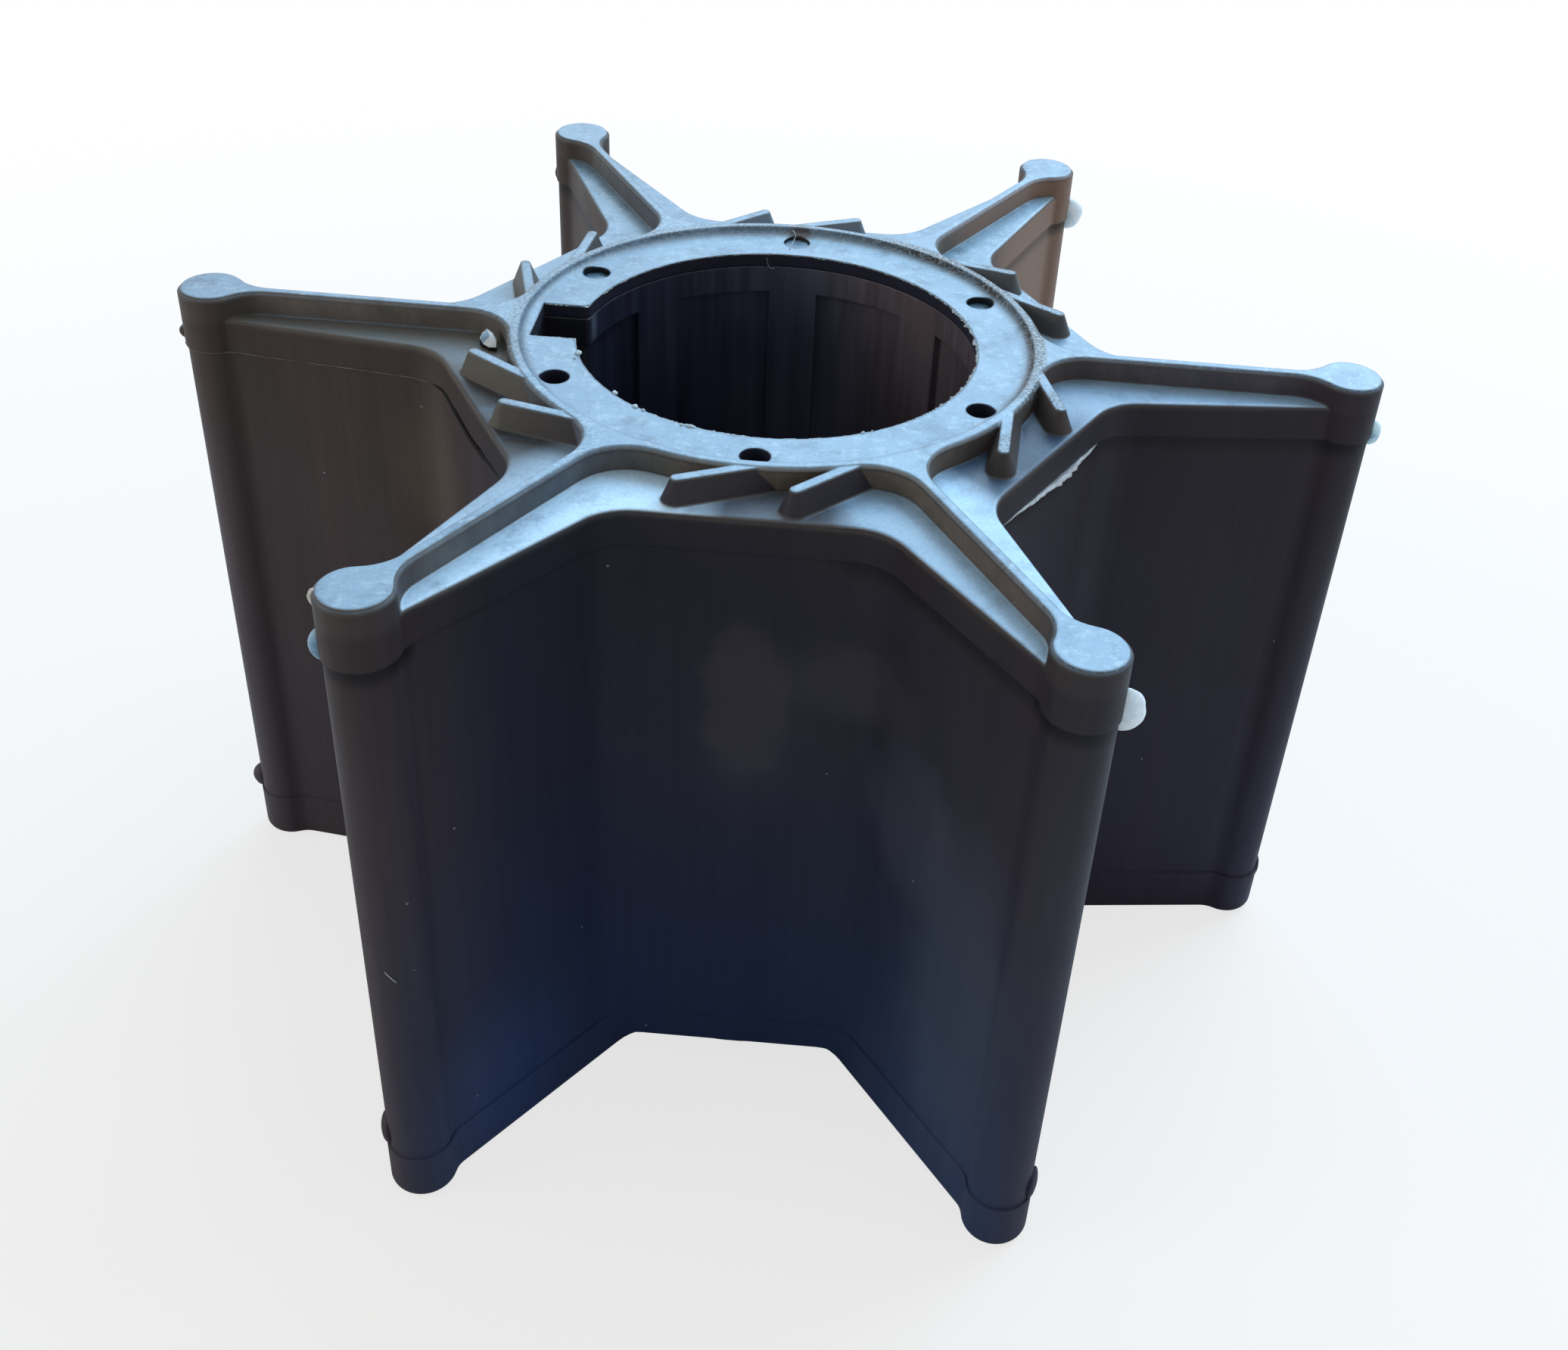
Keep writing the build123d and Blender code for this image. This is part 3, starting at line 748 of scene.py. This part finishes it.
# the strip is painted white as a painted highlight
stripLook = {
    "flat": 17.26, "level": 35.95, "way": -30, "sunk": 0.06, "footHalf": 0.07, "tipHalf": 0.02,
    "stepsEach": 12, "droop": 0.4, "ragWave": 2.6, "rag": 0.35, "driftWave": 1.3, "drift": 0.06,
    # along the flat from the front end, how far the strip stands out, how far it hangs down
    "run": [(-5.2, 0.0, 0.02), (-3.7, 0.05, 0.06), (-2.8, 0.1, 0.12), (-1.6, 0.2, 0.2), (-0.6, 0.22, 0.22),
            (0.5, 0.34, 0.3), (1.5, 0.36, 0.34), (2.5, 0.28, 0.28), (3.4, 0.16, 0.2), (4.5, 0.12, 0.12),
            (5.6, 0.0, 0.02)],
}


def seamStrip(look):
    out = onCircle(1, math.radians(look["way"]))
    along = Vector((-out.y, out.x, 0))
    rows = []
    for here, there in zip(look["run"], look["run"][1:]):
        for step in range(look["stepsEach"]):
            at, stands, hangs = (a + (b - a) * step / look["stepsEach"] for a, b in zip(here, there))
            stands *= 1 + look["rag"] * noise.noise(Vector((at * look["ragWave"], 0, 4)))
            level = look["level"] + look["drift"] * noise.noise(Vector((at * look["driftWave"], 2, 0)))
            foot = out * (look["flat"] - look["sunk"]) + along * at + upBy(level)
            tip = out * (look["flat"] + stands) + along * at + upBy(level - hangs * look["droop"])
            rows.append([foot + upBy(look["footHalf"]), tip + upBy(look["tipHalf"]),
                         tip - upBy(look["tipHalf"]), foot - upBy(look["footHalf"])])
    return newPiece("seamStripRight", fromRows("seamStripRight", rows, capped=True), flashWhiteGlint)


seamStrip(stripLook)
print("seam strip made")


# ---- a stub of flash at the root of the left vane

stubLook = {
    "rim": [(-15.83, -2.24, 38.12), (-15.42, -2.58, 38.12), (-15.01, -2.6, 38.15), (-15.1, -2.1, 38.35),
            (-15.39, -1.7, 38.55), (-15.74, -1.46, 38.65), (-15.96, -1.71, 38.5), (-16.05, -1.96, 38.3)],
    "middle": (-15.48, -2.02, 38.5), "foot": 37.88,
    # painted light and shade: the top is painted white, faces less upright near black, and the top's left end
    # in the shaded tone
    "topLean": 0.2, "shadedBeyond": -15.72,  # faces less upright are dark, and the top is dull at its left end
}


def rootStub(look):
    shape = bmesh.new()
    top = [shape.verts.new(Vector(point) * mm) for point in look["rim"]]
    foot = [shape.verts.new(Vector((x, y, look["foot"])) * mm) for x, y, z in look["rim"]]
    middle = shape.verts.new(Vector(look["middle"]) * mm)
    for i in range(len(top)):
        k = (i + 1) % len(top)
        shape.faces.new((top[i], top[k], middle))
        shape.faces.new((top[k], top[i], foot[i], foot[k]))
    shape.faces.new(list(reversed(foot)))
    bmesh.ops.recalc_face_normals(shape, faces=shape.faces)
    mesh = toMesh("rootStubLeft", shape)
    stub = newPiece("rootStubLeft", mesh, flashWhiteGlint, smooth=False)
    mesh.materials.append(seamShadeSkin)
    mesh.materials.append(flashShaded)
    for face in mesh.polygons:
        if face.normal.z < look["topLean"]:
            face.material_index = 1
        elif face.center.x < look["shadedBeyond"] * mm:
            face.material_index = 2
    return stub


rootStub(stubLook)
print("root stub made")


# ---- stray fibres: by the rear pin hole, down in the bore and on the front left vane

fibreLook = {
    "radius": 0.022, "sides": 2, "stepsEach": 10, "order": 3,
    "fibres": {
        "strayFibreHole": [(-0.35, 13.75, 39.12), (-0.22, 13.5, 39.15), (-0.09, 13.3, 38.98),
                           (-0.2, 12.9, 38.82), (-0.36, 11.7, 38.78)],
        "strayLintFrontLeft": [(-15.87, -28.81, 17.57), (-15.75, -28.85, 17.42), (-15.6, -28.83, 17.2),
                               (-15.35, -28.79, 16.85)],
        "strayFibreBore": [(-1.62, 10.74, 38.55), (-1.6, 10.74, 38.25), (-1.48, 10.74, 37.98),
                           (-1.3, 10.72, 37.84), (-1.14, 10.7, 37.96)],
    },
}


def strayFibre(name, look):
    points = look["fibres"][name]
    curve = bpy.data.curves.new(name, "CURVE")
    curve.dimensions = "3D"
    curve.bevel_depth = look["radius"] * mm
    curve.bevel_resolution = look["sides"]
    curve.resolution_u = look["stepsEach"]
    spline = curve.splines.new("NURBS")
    spline.points.add(len(points) - 1)
    for point, target in zip(spline.points, points):
        point.co = (*(Vector(target) * mm), 1)
    spline.order_u = look["order"]
    spline.use_endpoint_u = True
    holder = bpy.data.objects.new(name + "Curve", curve)
    bpy.context.scene.collection.objects.link(holder)
    mesh = bpy.data.meshes.new_from_object(holder)
    bpy.data.objects.remove(holder)
    mesh.name = name
    return newPiece(name, mesh, flashPaleGlintAndLint)


for fibreName in fibreLook["fibres"]:
    strayFibre(fibreName, fibreLook)
print("stray fibres made")


# ---- thin skins of rubber that the mould pins left in the far holes

pinSkinLook = {
    "circle": 12.83, "radius": 0.775, "sides": 28, "rings": 7, "foot": 0.12, "dish": 0.05,
    "rippleWave": 2.5, "ripple": 0.03,
    # hole: bearing, level of its skin
    "holes": {"Rear": (90, 38.61), "RearRight": (30, 38.37), "RearLeft": (150, 38.43)},
}


def pinSkin(hole, look):
    bearing, level = look["holes"][hole]
    centre = onCircle(look["circle"], math.radians(bearing), level)
    turns = [2 * math.pi * side / look["sides"] for side in range(look["sides"])]
    rows = [[centre + onCircle(look["radius"], turn, -look["foot"]) for turn in turns]]
    for ring in range(look["rings"]):
        inward = ring / look["rings"]
        row = [centre + onCircle(look["radius"] * (1 - inward), turn, -look["dish"] * inward ** 2)
               for turn in turns]
        rows.append([spot + upBy(look["ripple"] * noise.noise(spot * look["rippleWave"])) for spot in row])
    name = "pinHoleSkin" + hole
    return newPiece(name, fromRows(name, rows, capped=True), rubberSkin)


for holeName in pinSkinLook["holes"]:
    pinSkin(holeName, pinSkinLook)
print("pin hole skins made")


# ---- floor, backdrop, lamps and camera

floorLook = {"colour": "#f6f2ec", "size": 6.0, "glow": 0.74, "nearPart": 0.05, "farFromPart": 0.16}
worldLook = {"strength": 0.25, "seenStrength": 1.0}
# size, distance and turn of each soft lamp, in metres and degrees from the rear
lampLook = {
    "keyRight": {"size": (0.45, 0.30), "distance": 0.65, "elevation": 40, "azimuth": 42, "watts": 3.0,
                 "tint": "#b4deff"},
    "backPanel": {"size": (0.55, 0.30), "distance": 0.65, "elevation": 37, "azimuth": 2, "watts": 1.9,
                  "tint": "#b4deff"},
    "overhead": {"size": (0.6, 0.6), "distance": 0.8, "elevation": 72, "azimuth": 40, "watts": 1.1,
                 "tint": "#eef6ff"},
    "fillLeft": {"size": (0.4, 0.4), "distance": 0.8, "elevation": 14, "azimuth": 252, "watts": 1.9,
                 "tint": "#f6eee6"},
    "fillRight": {"size": (0.4, 0.4), "distance": 0.8, "elevation": 14, "azimuth": 118, "watts": 0.5,
                  "tint": "#f6e8dc"},
}
aimHeight = 20  # the lamps point at the middle of the part, in mm


def buildFloor(look):
    # White background paper, matt: it takes the part's shadow, and away from the part it is
    # seen as plain white.
    bpy.ops.mesh.primitive_plane_add(size=look["size"], location=(0, 0, 0))
    floor = bpy.context.object
    floor.name = "studioFloor"
    material, tree = newMaterial("backgroundPaper")
    path = addNode(tree, "ShaderNodeLightPath")
    paper = addNode(tree, "ShaderNodeBsdfDiffuse", {"Color": hexColour(look["colour"])})
    glow = addNode(tree, "ShaderNodeEmission", {"Color": (1, 1, 1, 1), "Strength": 1.0})
    place = addNode(tree, "ShaderNodeTexCoord")
    fromPart = addNode(tree, "ShaderNodeVectorMath", {0: place.outputs["Object"]}, operation="LENGTH")
    lift = addNode(tree, "ShaderNodeMapRange", {
        "Value": fromPart.outputs["Value"], "From Min": look["nearPart"], "From Max": look["farFromPart"],
        "To Min": look["glow"]}, interpolation_type="SMOOTHSTEP")
    seen = addNode(tree, "ShaderNodeMath", {0: path.outputs["Is Camera Ray"], 1: lift.outputs[0]},
                   operation="MULTIPLY")
    mix = addNode(tree, "ShaderNodeMixShader", {0: seen.outputs[0], 1: paper.outputs[0], 2: glow.outputs[0]})
    addNode(tree, "ShaderNodeOutputMaterial", {"Surface": mix.outputs[0]})
    floor.data.materials.append(material)


def buildWorld(look):
    world = bpy.data.worlds.new("paleStudio")
    bpy.context.scene.world = world
    world.use_nodes = True
    tree = world.node_tree
    tree.nodes.clear()
    path = addNode(tree, "ShaderNodeLightPath")
    seen = path.outputs["Is Camera Ray"]
    for ray in ("Is Glossy Ray", "Is Transmission Ray"):
        seen = addNode(tree, "ShaderNodeMath", {0: seen, 1: path.outputs[ray]},
                       operation="MAXIMUM").outputs[0]
    level = addNode(tree, "ShaderNodeMapRange", {"Value": seen, "To Min": look["strength"],
                                                 "To Max": look["seenStrength"]})
    backdrop = addNode(tree, "ShaderNodeBackground", {"Color": (1, 1, 1, 1), "Strength": level.outputs[0]})
    addNode(tree, "ShaderNodeOutputWorld", {"Surface": backdrop.outputs[0]})


def buildLamp(name, look):
    lamp = bpy.data.lights.new(name, "AREA")
    lamp.shape = "RECTANGLE"
    lamp.size, lamp.size_y = look["size"]
    lamp.energy = look["watts"]
    lamp.color = hexColour(look["tint"])[:3]
    panel = bpy.data.objects.new(name, lamp)
    azimuth, elevation = math.radians(look["azimuth"]), math.radians(look["elevation"])
    away = Vector((math.sin(azimuth) * math.cos(elevation), math.cos(azimuth) * math.cos(elevation),
                   math.sin(elevation)))
    panel.location = away * look["distance"] + upBy(aimHeight * mm)
    panel.rotation_euler = away.to_track_quat("Z", "Y").to_euler()
    bpy.context.scene.collection.objects.link(panel)


cameraLook = {
    # place in mm, tilt down, turn and roll in degrees, then the picture in pixels and the sensor in mm
    "position": (6.13, -87.69, 83.11), "elevation": 35.36, "heading": 1.03, "roll": 4.08,
    "imageSize": (2072, 1784), "focalPixels": 2344.4, "opticalCentre": (1112.65, 805.85), "sensor": 36.0,
    "clip": (0.001, 20),
}


def buildCamera(look):
    width, depth = look["imageSize"]
    data = bpy.data.cameras.new("mainCamera")
    data.sensor_fit = "HORIZONTAL"
    data.sensor_width = look["sensor"]
    data.lens = look["focalPixels"] / width * look["sensor"]
    data.shift_x = (width / 2 - look["opticalCentre"][0]) / width
    data.shift_y = (look["opticalCentre"][1] - depth / 2) / width
    data.clip_start, data.clip_end = look["clip"]
    camera = bpy.data.objects.new("mainCamera", data)
    turn = Matrix.Rotation(math.radians(look["heading"]), 4, "Z")
    tilt = Matrix.Rotation(math.radians(90 - look["elevation"]), 4, "X")
    roll = Matrix.Rotation(math.radians(look["roll"]), 4, "Z")
    place = Matrix.Translation(Vector(look["position"]) * mm)
    camera.matrix_world = place @ turn @ tilt @ roll
    bpy.context.scene.collection.objects.link(camera)
    bpy.context.scene.camera = camera


buildFloor(floorLook)
for lampName in lampLook:
    buildLamp(lampName, lampLook[lampName])
buildWorld(worldLook)
buildCamera(cameraLook)
bpy.context.scene.view_settings.view_transform = "Standard"
print("floor, lamps and camera set")
